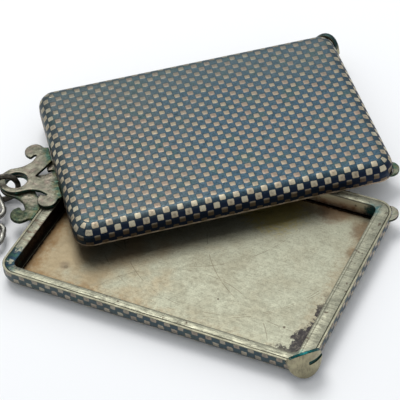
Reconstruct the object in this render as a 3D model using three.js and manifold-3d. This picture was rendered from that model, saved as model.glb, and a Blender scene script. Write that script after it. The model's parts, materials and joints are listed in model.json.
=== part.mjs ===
// Chatelaine needle case: two shallow cushion-edged halves that swivel open
// on a ring through their pierced bails, with a catch at the far corners.
// Millimetres, +Z up. The origin is the centre of the flat face that the tray stands on;
// +X points from the bails to the catches.

import * as THREE from 'three';
import { mergeVertices } from 'three/addons/utils/BufferGeometryUtils.js';
import Module from 'manifold-3d';

const wasm = await Module();
wasm.setup();

// ---- driving dimensions ----------------------------------------------------

// both halves
const CASE_LENGTH = 50;
const CASE_WIDTH = 34.5;
const HALF_HEIGHT = 3.3;
const EDGE_RADIUS = 2.1;       // round of the cushion edge
const CORNER_RADIUS = 2.8;     // corner in plan
const SKIN = 0.4;              // sheet of the niello cover
const RIM_SIDE = 1.6;          // flat rim along the long sides
const RIM_BAIL_END = 1.9;
const RIM_CATCH_END = 2.5;
const MOUTH_RADIUS = 1.1;      // inner corner of the rim frame
const PAN_SHEET = 0.3;
const PAN_GAP = 0.15;          // dark line round the floor pan
const FIT = 0.05;              // solder line between pieces of one half
const RIM_GAP = 0.15;          // running gap between the two rims
const LID_OPEN_DEG = 39.3;     // how far the lid stands open at rest

// bails
const BAIL_REACH = 6.25;       // end wall to the centre of the eye
const BAIL_SHEET = 0.6;
const EYE_RADIUS = 1.75;
const NOSE_RADIUS = 2.75;
const SCROLL_RADIUS = 1.6;
const SCROLL_SPREAD = 5.75;    // bail axis to the centre of a scroll
const SCROLL_BACK = 2.35;      // end wall to the centre of a scroll
const SCROLL_SLIT = 0.22;      // half width of the slit that frees a scroll
const SLIT_DEG = 31;           // which way that slit runs
const SLIT_DEPTH = 0.5;        // how far the slit runs into the scroll
const SLIT_SHIFT = 0.1;        // its blind end sits this far from under the scroll's centre
const SCROLL_FROM_DEG = 238;   // the scroll's round edge runs from its tip
const SCROLL_TO_DEG = 15;      // to the foot of the arm
const ARM_FOOT = 0.15;         // the foot is this much wider than the scrolls' centres
const NECK_LENGTH = 1.3;
const NECK_FLARE = 0.2;
const CROTCH = 3.0;            // eye to the point of the window
const WINDOW_HALF = 2.7;       // half width of the window at the end wall

// catches
const CLASP_RADIUS = 2.6;
const CLASP_SHEET = 0.5;
const CLASP_RELIEF = 0.3;      // clearance to the other half's corner
const TONGUE_SHEET = 0.4;
const TONGUE_RADIUS = 1.6;
const TONGUE_REACH = 1.0;      // how far the tongue stands out of the end wall
const TONGUE_END = 0.65;       // long side to the tip of the tongue
const SLIT_GAP = 0.12;         // above and below the tongue
const SLIT_STOP = 0.2;         // tongue tip to the blind end of the slit

// ring and chain
const RING_WIRE = 0.9;
const RING_PLAY = 2.0;         // slack in the ring round a bail and the first link
const RING_LIFT = 0.1;         // the ring stands this far above the table
const RING_TURN_DEG = 220;     // which way the ring points from the eye
const LINK_WIRE = 0.9;
const LINK_SIDE_PLAY = 0.35;   // slack each side of a wire inside a link
const LINK_LENGTH = 5.0;
const CONNECTOR_LENGTH = 7.0;
const LINK_PLAY = 0.15;        // slack between two links
const CONNECTOR_PLAY = 0.3;    // more for the connector, which slopes
const CONNECTOR_LIFT = 0.25;   // it crosses the first link this far above its middle
const END_RING_RADIUS = 2.9;
const END_RING_WIRE = 1.0;

// how finely round shapes are stepped
const CORNER_STEPS = 5;
const DISC_STEPS = 28;
const LOOP_STEPS = 20;
const WIRE_SIDES = 8;

// each link turns by this much against the one before it
const LINK_TURNS_DEG = [98, -18, -10, -26, -26, -24, -20];

// ---- worked out ------------------------------------------------------------

const EYE_X = CASE_LENGTH / 2 + BAIL_REACH;
const BAIL_BAND = NOSE_RADIUS - EYE_RADIUS;
const BAND_MIDDLE = (NOSE_RADIUS + EYE_RADIUS) / 2;
const RING_RADIUS = (BAIL_BAND + LINK_WIRE + RING_WIRE + RING_PLAY) / 2;   // to the middle of the wire
const RING_HEIGHT = RING_RADIUS + RING_WIRE / 2 + RING_LIFT;
const LINK_WIDTH = 3 * LINK_WIRE + 2 * LINK_SIDE_PLAY;
const LINK_HEIGHT = LINK_WIDTH / 2;
const CONNECTOR_RUN = CONNECTOR_LENGTH - 3 * LINK_WIRE - 2 * CONNECTOR_PLAY;
const CONNECTOR_DROP = RING_HEIGHT - LINK_HEIGHT - CONNECTOR_LIFT;
const CONNECTOR_TILT = Math.asin(CONNECTOR_DROP / CONNECTOR_RUN);
const MERGE_DISTANCE = 1e-5;
const PAST = 1;                // cutters run this far past what they cut

const material = (color, roughness, metalness) =>
  new THREE.MeshStandardMaterial({ color, roughness, metalness });
const NIELLO = material(0x4a6070, 0.45, 0.6);
const SILVER = material(0xa6a698, 0.4, 0.9);
const GILT_PAN = material(0xb3a382, 0.45, 0.85);
const BAIL_SILVER = material(0x9a9a8c, 0.42, 0.9);
const CHAIN_STEEL = material(0xb4b4aa, 0.35, 0.9);

// ---- helpers ---------------------------------------------------------------

// A geometry with each shared corner stored once.
function merged(geometry) {
  const bare = geometry.clone();
  bare.deleteAttribute('normal');
  bare.deleteAttribute('uv');
  return mergeVertices(bare, MERGE_DISTANCE);
}

function toManifold(geometry) {
  const closed = merged(geometry);
  return new wasm.Manifold(new wasm.Mesh({
    numProp: 3,
    vertProperties: new Float32Array(closed.attributes.position.array),
    triVerts: new Uint32Array(closed.index.array),
  }));
}

function toGeometry(solid) {
  const mesh = solid.getMesh();
  const geometry = new THREE.BufferGeometry();
  geometry.setAttribute('position', new THREE.BufferAttribute(mesh.vertProperties, 3));
  geometry.setIndex(new THREE.BufferAttribute(mesh.triVerts, 1));
  geometry.computeVertexNormals();
  return geometry;
}

function meshOf(name, shape, look) {
  const geometry = shape.isBufferGeometry ? shape : toGeometry(shape);
  const mesh = new THREE.Mesh(geometry, look);
  mesh.name = name;
  return mesh;
}

// A rectangle with round corners between two x values and two y values.
function roundedRectangle(x0, x1, y0, y1, radius) {
  const shape = new THREE.Shape();
  shape.absarc(x1 - radius, y1 - radius, radius, 0, Math.PI / 2);
  shape.absarc(x0 + radius, y1 - radius, radius, Math.PI / 2, Math.PI);
  shape.absarc(x0 + radius, y0 + radius, radius, Math.PI, 1.5 * Math.PI);
  shape.absarc(x1 - radius, y0 + radius, radius, 1.5 * Math.PI, 2 * Math.PI);
  return shape;
}

function prism(shape, z0, z1, curveSegments = CORNER_STEPS + 1) {
  const geometry = new THREE.ExtrudeGeometry(shape, {
    depth: z1 - z0, bevelEnabled: false, curveSegments,
  });
  return toManifold(geometry.translate(0, 0, z0));
}

function block(x0, x1, y0, y1, z0, z1) {
  const geometry = new THREE.BoxGeometry(x1 - x0, y1 - y0, z1 - z0);
  return toManifold(geometry.translate((x0 + x1) / 2, (y0 + y1) / 2, (z0 + z1) / 2));
}

// The case's outline, grown outwards by a distance.
function caseOutline(grow) {
  const x = CASE_LENGTH / 2 + grow;
  const y = CASE_WIDTH / 2 + grow;
  return roundedRectangle(-x, x, -y, y, CORNER_RADIUS + grow);
}

// The space inside the cushion shape, a distance in from its surface, up to the rim plane.
function cushion(inset) {
  const round = EDGE_RADIUS - inset;
  const geometry = new THREE.ExtrudeGeometry(caseOutline(-EDGE_RADIUS), {
    depth: HALF_HEIGHT,
    bevelEnabled: true, bevelThickness: round, bevelSize: round, bevelSegments: CORNER_STEPS,
    curveSegments: CORNER_STEPS,
  });
  const pillow = toManifold(geometry.translate(0, 0, EDGE_RADIUS));
  const reach = CASE_LENGTH;
  return pillow.intersect(block(-reach, reach, -reach, reach, -PAST, HALF_HEIGHT));
}

function mouthOutline(grow) {
  return roundedRectangle(
    -CASE_LENGTH / 2 + RIM_BAIL_END - grow, CASE_LENGTH / 2 - RIM_CATCH_END + grow,
    -CASE_WIDTH / 2 + RIM_SIDE - grow, CASE_WIDTH / 2 - RIM_SIDE + grow,
    MOUTH_RADIUS + grow);
}

// ---- the pieces of one half, with its flat face on z = 0 and its mouth up ----

function cover() {
  const mouth = prism(caseOutline(-SKIN), EDGE_RADIUS, HALF_HEIGHT + PAST, CORNER_STEPS);
  return cushion(0).subtract(cushion(SKIN).add(mouth));
}

function rimFrame() {
  return cushion(SKIN + FIT).subtract(prism(mouthOutline(0), 0, HALF_HEIGHT + PAST));
}

function floorPan() {
  const bottom = SKIN + FIT;
  return prism(mouthOutline(-PAN_GAP), 0, bottom + PAN_SHEET).intersect(cushion(bottom));
}

// The edge of one arm of the bail, from the top of the nose round the scroll to the crotch.
function bailArm() {
  const deg = THREE.MathUtils.degToRad;
  const scroll = new THREE.Vector2(BAIL_REACH - SCROLL_BACK, SCROLL_SPREAD);
  const slitEnd = new THREE.Vector2(scroll.x - SLIT_SHIFT, scroll.y - SCROLL_RADIUS + SLIT_DEPTH);
  const across = new THREE.Vector2(Math.cos(deg(SLIT_DEG - 90)), Math.sin(deg(SLIT_DEG - 90)));
  const underSlit = slitEnd.clone().addScaledVector(across, SCROLL_SLIT);
  const wall = BAIL_REACH - FIT;
  const edge = new THREE.Path();
  edge.moveTo(0, NOSE_RADIUS);
  edge.lineTo(NECK_LENGTH, NOSE_RADIUS);
  edge.quadraticCurveTo(CROTCH, NOSE_RADIUS + NECK_FLARE, underSlit.x, underSlit.y);
  edge.absarc(slitEnd.x, slitEnd.y, SCROLL_SLIT, deg(SLIT_DEG - 90), deg(SLIT_DEG + 90));
  edge.absarc(scroll.x, scroll.y, SCROLL_RADIUS, deg(SCROLL_FROM_DEG), deg(SCROLL_TO_DEG), true);
  edge.lineTo(wall, SCROLL_SPREAD + ARM_FOOT);
  edge.lineTo(wall, WINDOW_HALF);
  edge.lineTo(CROTCH, 0);
  return edge.getPoints(7);
}

// A flat pierced bail: an eye in a round nose, and two arms that end in scrolls.
function bail() {
  const nose = new THREE.Path();
  nose.absarc(0, 0, NOSE_RADIUS, -Math.PI / 2, -1.5 * Math.PI, true);
  const upper = bailArm();
  const lower = upper.map((point) => new THREE.Vector2(point.x, -point.y)).reverse();
  const outline = new THREE.Shape([...nose.getPoints(12), ...upper.slice(1), ...lower.slice(1, -1)]);
  const eye = new THREE.Path();
  eye.absarc(0, 0, EYE_RADIUS, 0, 2 * Math.PI);
  outline.holes.push(eye);
  return prism(outline, HALF_HEIGHT - BAIL_SHEET, HALF_HEIGHT, 10).translate([-EYE_X, 0, 0]);
}

// A round plate wrapped about the corner at +X, -Y. Its lower half is soldered to the
// corner, its upper half stands clear, and a slit from the +X end takes the other tongue.
function clasp() {
  const outer = CLASP_RELIEF + CLASP_SHEET;
  const top = HALF_HEIGHT + CLASP_RADIUS;
  const bend = new THREE.Vector2(
    CASE_LENGTH / 2 - CORNER_RADIUS * (1 - Math.SQRT1_2),
    -CASE_WIDTH / 2 + CORNER_RADIUS * (1 - Math.SQRT1_2));
  const through = 4 * CLASP_RADIUS;
  const disc = new THREE.CylinderGeometry(CLASP_RADIUS, CLASP_RADIUS, through, DISC_STEPS)
    .rotateZ(-Math.PI / 2)
    .rotateZ(-Math.PI / 4)
    .translate(bend.x, bend.y, HALF_HEIGHT);
  const slitFloor = HALF_HEIGHT + RIM_GAP - SLIT_GAP;
  const slitRoof = HALF_HEIGHT + RIM_GAP + TONGUE_SHEET + SLIT_GAP;
  const slitEnd = -CASE_WIDTH / 2 + TONGUE_END - SLIT_STOP;
  return prism(caseOutline(outer), 0, top)
    .intersect(toManifold(disc))
    .subtract(prism(caseOutline(FIT), -PAST, top + PAST))
    .subtract(prism(caseOutline(CLASP_RELIEF), HALF_HEIGHT, top + PAST))
    .subtract(block(bend.x, CASE_LENGTH, slitEnd, 0, slitFloor, slitRoof));
}

// A thin lobe at the corner at +X, +Y, level with the rim, that enters the other clasp's slit.
function tongue() {
  const x = CASE_LENGTH / 2 + TONGUE_REACH - TONGUE_RADIUS;
  const y = CASE_WIDTH / 2 - TONGUE_END - TONGUE_RADIUS;
  const lobe = new THREE.Shape();
  lobe.absarc(x, y, TONGUE_RADIUS, 0, 2 * Math.PI);
  return prism(lobe, HALF_HEIGHT - TONGUE_SHEET, HALF_HEIGHT, DISC_STEPS)
    .subtract(prism(caseOutline(FIT), 0, HALF_HEIGHT + PAST));
}

// The six pieces of one half; the lid is the same half turned over.
function half(prefix) {
  const group = new THREE.Group();
  group.add(meshOf(`${prefix}_cover`, cover(), NIELLO));
  group.add(meshOf(`${prefix}_rim_frame`, rimFrame(), SILVER));
  group.add(meshOf(`${prefix}_floor_pan`, floorPan(), GILT_PAN));
  group.add(meshOf(`${prefix}_bail`, bail(), BAIL_SILVER));
  group.add(meshOf(`${prefix}_clasp_plate`, clasp(), SILVER));
  group.add(meshOf(`${prefix}_tongue`, tongue(), SILVER));
  return group;
}

// ---- ring and chain --------------------------------------------------------

// A ring of round wire in the XY plane, drawn out along X into a link.
function wireLoop(length, width, wire) {
  const loop = new THREE.TorusGeometry((width - wire) / 2, wire / 2, WIRE_SIDES, LOOP_STEPS);
  loop.rotateZ(Math.PI / LOOP_STEPS);
  const position = loop.attributes.position;
  const draw = (length - width) / 2;
  for (let i = 0; i < position.count; i += 1) {
    position.setX(i, position.getX(i) + draw * Math.sign(position.getX(i)));
  }
  const closed = merged(loop);
  closed.computeVertexNormals();
  return closed;
}

// The jump ring stands on edge through both eyes and round the noses.
function jumpRing() {
  const size = 2 * RING_RADIUS + RING_WIRE;
  const group = new THREE.Group();
  const ring = meshOf('jump_ring', wireLoop(size, size, RING_WIRE), CHAIN_STEEL);
  ring.rotation.x = Math.PI / 2;
  ring.position.x = BAND_MIDDLE;
  group.add(ring);
  group.position.set(-EYE_X, 0, RING_HEIGHT);
  group.rotation.z = THREE.MathUtils.degToRad(RING_TURN_DEG);
  return group;
}

// The chain hangs from the outside of the jump ring. Links that stand on edge take
// turns with links that lie flat; each swings about the upright end wire between them.
function chain() {
  const start = new THREE.Group();
  start.position.set(BAND_MIDDLE + RING_RADIUS, 0, 0);
  const hole = LINK_WIRE + LINK_PLAY;
  let parent = start;
  LINK_TURNS_DEG.forEach((turn, index) => {
    const last = index === LINK_TURNS_DEG.length - 1;
    const first = index === 0;
    const onEdge = index % 2 === 1;
    const joint = new THREE.Group();
    joint.rotation.z = THREE.MathUtils.degToRad(turn);
    parent.add(joint);
    const next = new THREE.Group();
    if (first) {
      const tilted = new THREE.Group();
      tilted.rotation.y = CONNECTOR_TILT;
      const link = meshOf('connector_link',
        wireLoop(CONNECTOR_LENGTH, LINK_WIDTH, LINK_WIRE), CHAIN_STEEL);
      link.position.x = CONNECTOR_RUN / 2;
      tilted.add(link);
      joint.add(tilted);
      next.position.set(CONNECTOR_RUN * Math.cos(CONNECTOR_TILT), 0, LINK_HEIGHT - RING_HEIGHT);
    } else if (last) {
      const size = 2 * END_RING_RADIUS + END_RING_WIRE;
      const ring = meshOf('end_ring', wireLoop(size, size, END_RING_WIRE), CHAIN_STEEL);
      ring.position.x = END_RING_RADIUS - (LINK_WIRE + END_RING_WIRE) / 2 - LINK_PLAY;
      joint.add(ring);
    } else {
      const link = meshOf(`chain_link_${index}`,
        wireLoop(LINK_LENGTH, LINK_WIDTH, LINK_WIRE), CHAIN_STEEL);
      const reach = (LINK_LENGTH - LINK_WIRE) / 2;
      const run = onEdge ? 2 * reach : 2 * (reach - hole);
      link.rotation.x = onEdge ? Math.PI / 2 : 0;
      link.position.x = run / 2;
      joint.add(link);
      next.position.x = run;
    }
    joint.add(next);
    parent = next;
  });
  return start;
}

// ---- the object ------------------------------------------------------------

const needleCase = new THREE.Group();
needleCase.add(half('tray'));

const lidHinge = new THREE.Group();
lidHinge.position.x = -EYE_X;
lidHinge.rotation.z = THREE.MathUtils.degToRad(LID_OPEN_DEG);
const lid = half('lid');
lid.rotation.x = Math.PI;
lid.position.set(EYE_X, 0, 2 * HALF_HEIGHT + RIM_GAP);
lidHinge.add(lid);
needleCase.add(lidHinge);

const ring = jumpRing();
ring.add(chain());
needleCase.add(ring);

export default needleCase;
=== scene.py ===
# %% [markdown]
# # A needle case, finished in Blender
#
# The case is two shallow silver halves with cushion edges, checked all over in
# silver and niello. They swivel apart on a ring that passes through two pierced
# bails. The frame that loads first holds every size and every moving body; this
# lesson makes the visible surface that rides on it, one piece at a time.

# %% Load the frame
import json
import math

import bmesh
import bpy
from mathutils import Matrix, Vector


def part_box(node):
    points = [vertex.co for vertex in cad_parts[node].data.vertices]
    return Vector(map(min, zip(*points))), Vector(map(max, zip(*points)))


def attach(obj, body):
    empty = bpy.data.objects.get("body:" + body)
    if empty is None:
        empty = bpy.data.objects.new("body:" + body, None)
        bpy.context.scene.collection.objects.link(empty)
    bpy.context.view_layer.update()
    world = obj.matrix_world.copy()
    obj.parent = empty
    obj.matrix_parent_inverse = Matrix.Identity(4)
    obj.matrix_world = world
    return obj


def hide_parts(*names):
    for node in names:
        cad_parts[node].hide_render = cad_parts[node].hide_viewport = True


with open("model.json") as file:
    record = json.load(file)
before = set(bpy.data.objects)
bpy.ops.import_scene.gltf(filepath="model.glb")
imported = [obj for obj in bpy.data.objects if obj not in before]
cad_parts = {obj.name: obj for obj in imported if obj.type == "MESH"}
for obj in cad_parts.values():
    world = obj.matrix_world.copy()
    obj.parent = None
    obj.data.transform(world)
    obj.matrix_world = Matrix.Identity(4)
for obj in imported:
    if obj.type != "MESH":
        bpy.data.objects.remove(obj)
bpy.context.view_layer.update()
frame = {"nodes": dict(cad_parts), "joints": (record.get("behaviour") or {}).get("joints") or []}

# %% [markdown]
# ## Working in millimetres
#
# The case is only 50 mm long, so its sizes read best in millimetres. Each piece
# is modelled in millimetres with the tray's flat face on z = 0, and at the end it
# is made a thousand times smaller, because the frame is in metres. The sizes that
# the frame knows are measured from it, and the rest are named here.

# %% Sizes
MM = 0.001
tray_low, tray_high = (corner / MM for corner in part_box("tray_cover"))
CASE_LENGTH = tray_high.x - tray_low.x
CASE_WIDTH = tray_high.y - tray_low.y
HALF_HEIGHT = tray_high.z
EDGE_RADIUS = 2.1
CORNER_RADIUS = 2.8
SKIN = 0.4              # how thick the sheet of a cover is
SAME_PLACE = 1e-4       # points closer than this are one point

swing = next(j for j in frame["joints"] if j["name"] == "lid_swing")
EYE = Vector(swing["pos_m"]) / MM
LID_OPEN = -math.radians(swing["range_deg"][0])
LID_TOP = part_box("lid_cover")[1].z / MM
print(f"case {CASE_LENGTH:.1f} x {CASE_WIDTH:.1f} x {LID_TOP:.2f} mm, eye at {EYE.x:.2f}")

# %% [markdown]
# ## Small helpers for working by code
#
# With a mouse you click a piece, press Tab and pick its edges. In a script you
# make one object the only selected one, go into edit mode, and select by place.
# These helpers do just that, so that the cells below read like the steps of a
# modelling session.


# %% Selecting and editing
def lone(obj):
    """Make obj the only selected object, and the active one."""
    if bpy.context.object and bpy.context.object.mode != "OBJECT":
        bpy.ops.object.mode_set(mode="OBJECT")
    bpy.ops.object.select_all(action="DESELECT")
    obj.select_set(True)
    bpy.context.view_layer.objects.active = obj


def start(name, operator, **settings):
    """Add a primitive with nothing else selected, and name it."""
    bpy.ops.object.select_all(action="DESELECT")
    operator(**settings)
    obj = bpy.context.active_object
    obj.name = obj.data.name = name
    return obj


def edit(obj):
    """Go into edit mode with nothing picked."""
    lone(obj)
    bpy.ops.object.mode_set(mode="EDIT")
    bpy.ops.mesh.select_all(action="DESELECT")


def pick(obj, kind, wanted):
    """Pick the verts, edges or faces whose every corner passes wanted(point)."""
    bpy.ops.mesh.select_mode(type={"verts": "VERT", "edges": "EDGE", "faces": "FACE"}[kind])
    mesh = bmesh.from_edit_mesh(obj.data)
    for part in getattr(mesh, kind):
        corners = [part] if kind == "verts" else part.verts
        if all(wanted(corner.co) for corner in corners):
            part.select_set(True)
    mesh.select_flush_mode()
    bmesh.update_edit_mesh(obj.data)


def done():
    bpy.ops.object.mode_set(mode="OBJECT")


def finish_with(obj, kind, **settings):
    """Add a modifier and apply it."""
    lone(obj)
    modifier = obj.modifiers.new(kind.title(), kind)
    for key, value in settings.items():
        setattr(modifier, key, value)
    bpy.ops.object.modifier_apply(modifier=modifier.name)


def smooth(obj, degrees=30):
    lone(obj)
    bpy.ops.object.shade_smooth_by_angle(angle=math.radians(degrees))


# %% [markdown]
# ## The camera
#
# The case is looked at from in front and above, about 44 degrees over the table,
# with a long lens, so its long edges stay almost parallel. The camera leans 5
# degrees to one side, as a hand-held one does.

# %% Camera
VIEW_AZIMUTH = math.radians(28.78)
VIEW_ELEVATION = math.radians(43.89)
VIEW_LEAN = math.radians(-5.03)
VIEW_DISTANCE = 0.24015
AIM_RIGHT = 0.000295
AIM_UP = 0.005385
LENS = 145.19
SENSOR = 36
NEAREST = 0.01

back = Vector((
    math.sin(VIEW_AZIMUTH) * math.cos(VIEW_ELEVATION),
    -math.cos(VIEW_AZIMUTH) * math.cos(VIEW_ELEVATION),
    math.sin(VIEW_ELEVATION)))
level = Vector((math.cos(VIEW_AZIMUTH), math.sin(VIEW_AZIMUTH), 0))
rise = back.cross(level)
right = level * math.cos(VIEW_LEAN) + rise * math.sin(VIEW_LEAN)
up = rise * math.cos(VIEW_LEAN) - level * math.sin(VIEW_LEAN)
aim = Vector((0, 0, HALF_HEIGHT * MM)) + right * AIM_RIGHT + up * AIM_UP

bpy.ops.object.camera_add()
camera = bpy.context.active_object
camera.data.lens = LENS
camera.data.sensor_width = SENSOR
camera.data.clip_start = NEAREST
turn = Matrix((right, up, back)).transposed().to_4x4()
camera.matrix_world = Matrix.Translation(aim + back * VIEW_DISTANCE) @ turn
bpy.context.scene.camera = camera
print("camera at", [round(value, 3) for value in camera.matrix_world.translation])

# %% [markdown]
# ## A pressed sheet
#
# The outside of each half is one sheet pressed over a form: flat in the middle,
# then rolled over a round edge into a low wall. A subdivided cube could give the
# shape, but the checks need a mesh whose squares follow the metal round the edge.
# So one quarter is drawn as the press would make it. A flat grid is the middle,
# its two outer edges are extruded step by step along the section, the open end of
# one strip is spun round the corner to meet the other, and the Mirror modifier
# makes four quarters into a whole.


# %% Press a sheet
def press_sheet(name, core_x, core_y, cells_x, cells_y, section, corner_steps):
    """A form with a flat middle of 2 core_x by 2 core_y, rolled along section.

    section is a list of (outward, upward) places, measured from the middle's edge.
    """
    sheet = start(name, bpy.ops.mesh.primitive_grid_add,
                  x_subdivisions=cells_x, y_subdivisions=cells_y, size=1)
    bpy.ops.object.mode_set(mode="EDIT")
    bpy.ops.transform.translate(value=(0.5, 0.5, 0))
    bpy.ops.transform.resize(value=(core_x, core_y, 1), center_override=(0, 0, 0))
    for axis, core in ((0, core_x), (1, core_y)):
        bpy.ops.mesh.select_all(action="DESELECT")
        pick(sheet, "edges", lambda co: co[axis] > core - SAME_PLACE
             and abs(co.z) < SAME_PLACE
             and co[1 - axis] < (core_y, core_x)[axis] + SAME_PLACE)
        at = (0, 0)
        for place in section:
            out, high = place[0] - at[0], place[1] - at[1]
            move = (out, 0, high) if axis == 0 else (0, out, high)
            bpy.ops.mesh.extrude_region_move(TRANSFORM_OT_translate={"value": move})
            at = place
    bpy.ops.mesh.select_all(action="DESELECT")
    pick(sheet, "edges", lambda co: abs(co.y - core_y) < SAME_PLACE
         and co.x > core_x - SAME_PLACE)
    bpy.ops.mesh.spin(steps=corner_steps, angle=-math.pi / 2,
                      center=(core_x, core_y, 0), axis=(0, 0, 1))
    bpy.ops.mesh.select_all(action="SELECT")
    bpy.ops.mesh.remove_doubles(threshold=SAME_PLACE)
    done()
    finish_with(sheet, "MIRROR", use_axis=(True, True, False), use_mirror_merge=True,
                merge_threshold=SAME_PLACE)
    return sheet


def close_and_face_out(sheet):
    """Fill the opening that is left with one flat face, and turn every face outwards."""
    edit(sheet)
    bpy.ops.mesh.select_mode(type="EDGE")
    bpy.ops.mesh.select_non_manifold()
    bpy.ops.mesh.edge_face_add()
    bpy.ops.mesh.select_all(action="SELECT")
    bpy.ops.mesh.normals_make_consistent(inside=False)
    done()


# %% [markdown]
# ## The covers
#
# Round the edge they are counted along the metal, not along the table, so the
# section has a step every sixth of a check: 0.7 mm of flat, a quarter round, and
# 1.2 mm of wall, which comes out at nearly five rows. The sheet's bare edge is 0.4
# mm wide, and inside it the section goes back up parallel to the outside.

# %% The cover's section
CHECK = 1.08
STEPS_PER_CHECK = 6
CORNER_STEPS = 3 * STEPS_PER_CHECK
BEND_STEPS = 4          # round the inner bend, which is hardly seen
EDGE_EASE = 0.06
CORE_X = CASE_LENGTH / 2 - CORNER_RADIUS
CORE_Y = CASE_WIDTH / 2 - CORNER_RADIUS
CHECKS_X = 41
CHECKS_Y = 27
LEDGE = CORNER_RADIUS - EDGE_RADIUS
QUARTER_ROUND = EDGE_RADIUS * math.pi / 2


def cover_place(along):
    """Where the outside is, this far along the metal from the middle's edge."""
    if along <= LEDGE:
        return along, 0
    angle = (along - LEDGE) / EDGE_RADIUS
    if angle <= math.pi / 2:
        return LEDGE + EDGE_RADIUS * math.sin(angle), EDGE_RADIUS * (1 - math.cos(angle))
    return CORNER_RADIUS, EDGE_RADIUS + along - LEDGE - QUARTER_ROUND


def cover_section():
    wall_foot = LEDGE + QUARTER_ROUND + HALF_HEIGHT - EDGE_RADIUS - EDGE_EASE
    step = CHECK / STEPS_PER_CHECK
    places = [cover_place(step * i) for i in range(1, math.ceil(wall_foot / step))]
    inner = CORNER_RADIUS - SKIN
    places += [(CORNER_RADIUS, HALF_HEIGHT - EDGE_EASE), (CORNER_RADIUS - EDGE_EASE, HALF_HEIGHT),
               (inner + EDGE_EASE, HALF_HEIGHT), (inner, HALF_HEIGHT - EDGE_EASE)]
    bend = EDGE_RADIUS - SKIN
    for i in range(BEND_STEPS + 1):
        angle = math.pi / 2 * (1 - i / BEND_STEPS)
        places.append((LEDGE + bend * math.sin(angle), EDGE_RADIUS - bend * math.cos(angle)))
    return places + [(0, SKIN)]


def make_cover():
    cells_x = CHECKS_X * STEPS_PER_CHECK // 2
    cells_y = CHECKS_Y * STEPS_PER_CHECK // 2
    sheet = press_sheet("cover", CORE_X, CORE_Y, cells_x, cells_y, cover_section(), CORNER_STEPS)
    close_and_face_out(sheet)
    return sheet


cover = make_cover()
print("cover:", len(cover.data.polygons), "faces",
      [round(value, 3) for value in cover.dimensions])

# %% [markdown]
# ## Counting the checks
#
# The shader needs to know where on the metal it is, so the cover gets a UV map
# called "checks" whose units are whole checks. On the flat they are counted along X
# and Y. On a side strip the rows go on along the metal. At a corner three extra
# columns fan out, because with an odd number the silver and niello checks still
# take turns when the next side is met.

# %% The map of checks
CORNER_COLUMNS = 3      # one column in the first row, where there is room for no more


def count_checks(point, middle):
    """The column and row of a point, counted the way of the zone that middle is in."""
    x, y, z = point
    over_x, over_y = abs(x) - CORE_X, abs(y) - CORE_Y
    out = math.hypot(max(over_x, 0), max(over_y, 0))
    if z > EDGE_RADIUS:
        along = LEDGE + QUARTER_ROUND + z - EDGE_RADIUS
    elif out > LEDGE:
        along = LEDGE + EDGE_RADIUS * math.atan2(out - LEDGE, EDGE_RADIUS - z)
    else:
        along = out
    rows = along / CHECK
    column = (x + CORE_X) * CHECKS_X / (2 * CORE_X)
    row = (y + CORE_Y) * CHECKS_Y / (2 * CORE_Y)
    past_x, past_y = abs(middle[0]) > CORE_X, abs(middle[1]) > CORE_Y
    if past_x:
        column = CHECKS_X + rows if middle[0] > 0 else -rows
    if past_x and past_y:
        middle_out = math.hypot(abs(middle[0]) - CORE_X, abs(middle[1]) - CORE_Y)
        in_first_row = middle_out < cover_place(CHECK)[0] and middle[2] < EDGE_RADIUS
        columns = 1 if in_first_row else CORNER_COLUMNS
        fan = math.atan2(max(over_y, 0), max(over_x, 0)) / (math.pi / 2) * columns
        row = CHECKS_Y + fan if middle[1] > 0 else -fan
    elif past_y:
        row = CHECKS_Y + rows if middle[1] > 0 else -rows
    return column, row


def is_outside(face):
    """The patterned side of the sheet: its flat, its round edge and its wall."""
    x, y, z = face.center
    out = math.hypot(max(abs(x) - CORE_X, 0), max(abs(y) - CORE_Y, 0))
    if z > HALF_HEIGHT - EDGE_EASE / 2:
        return False
    if z > EDGE_RADIUS:
        return out > CORNER_RADIUS - SKIN / 2
    return math.hypot(max(out - LEDGE, 0), EDGE_RADIUS - z) > EDGE_RADIUS - SKIN / 2


def map_checks(sheet):
    mesh = sheet.data
    checks = mesh.uv_layers.new(name="checks")
    for face in mesh.polygons:
        face.material_index = 0 if is_outside(face) else 1
        for loop in face.loop_indices:
            point = mesh.vertices[mesh.loops[loop].vertex_index].co
            checks.data[loop].uv = count_checks(point, face.center)


map_checks(cover)
print("patterned faces:", sum(face.material_index == 0 for face in cover.data.polygons))

# %% [markdown]
# ## Relief between the checks
#
# On the real cover the niello has worn a little lower than the silver, so each
# silver check stands up like a small pillow. The height is painted as vertex
# weights, as a brush would, and the Displace modifier pushes the painted ground
# inwards. The silver stays at the size that the frame gives.

# %% Sink the ground
RELIEF = 0.038
PILLOW_HALF = 0.44      # half of a raised check, in checks
PILLOW_SLOPE = 0.14     # how wide its slope is, in checks


def ground_weight(column, row):
    """0 on top of a silver check, 1 in the niello, with a slope between."""
    if (math.floor(column) + math.floor(row)) % 2:
        return 1.0
    across = max(abs(column % 1 - 0.5), abs(row % 1 - 0.5))
    return min(max((across - (PILLOW_HALF - PILLOW_SLOPE)) / PILLOW_SLOPE, 0), 1)


def sink_ground(sheet):
    mesh = sheet.data
    group = sheet.vertex_groups.new(name="ground")
    patterned = {v for face in mesh.polygons if face.material_index == 0 for v in face.vertices}
    bare = {v for face in mesh.polygons if face.material_index == 1 for v in face.vertices}
    for index in sorted(patterned - bare):
        point = mesh.vertices[index].co
        group.add([index], ground_weight(*count_checks(point, point)), "REPLACE")
    finish_with(sheet, "DISPLACE", vertex_group="ground", mid_level=0.0, strength=-RELIEF)
    sheet.vertex_groups.clear()


sink_ground(cover)
smooth(cover, 40)
print("the ground lies", RELIEF, "mm below the silver")

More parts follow.
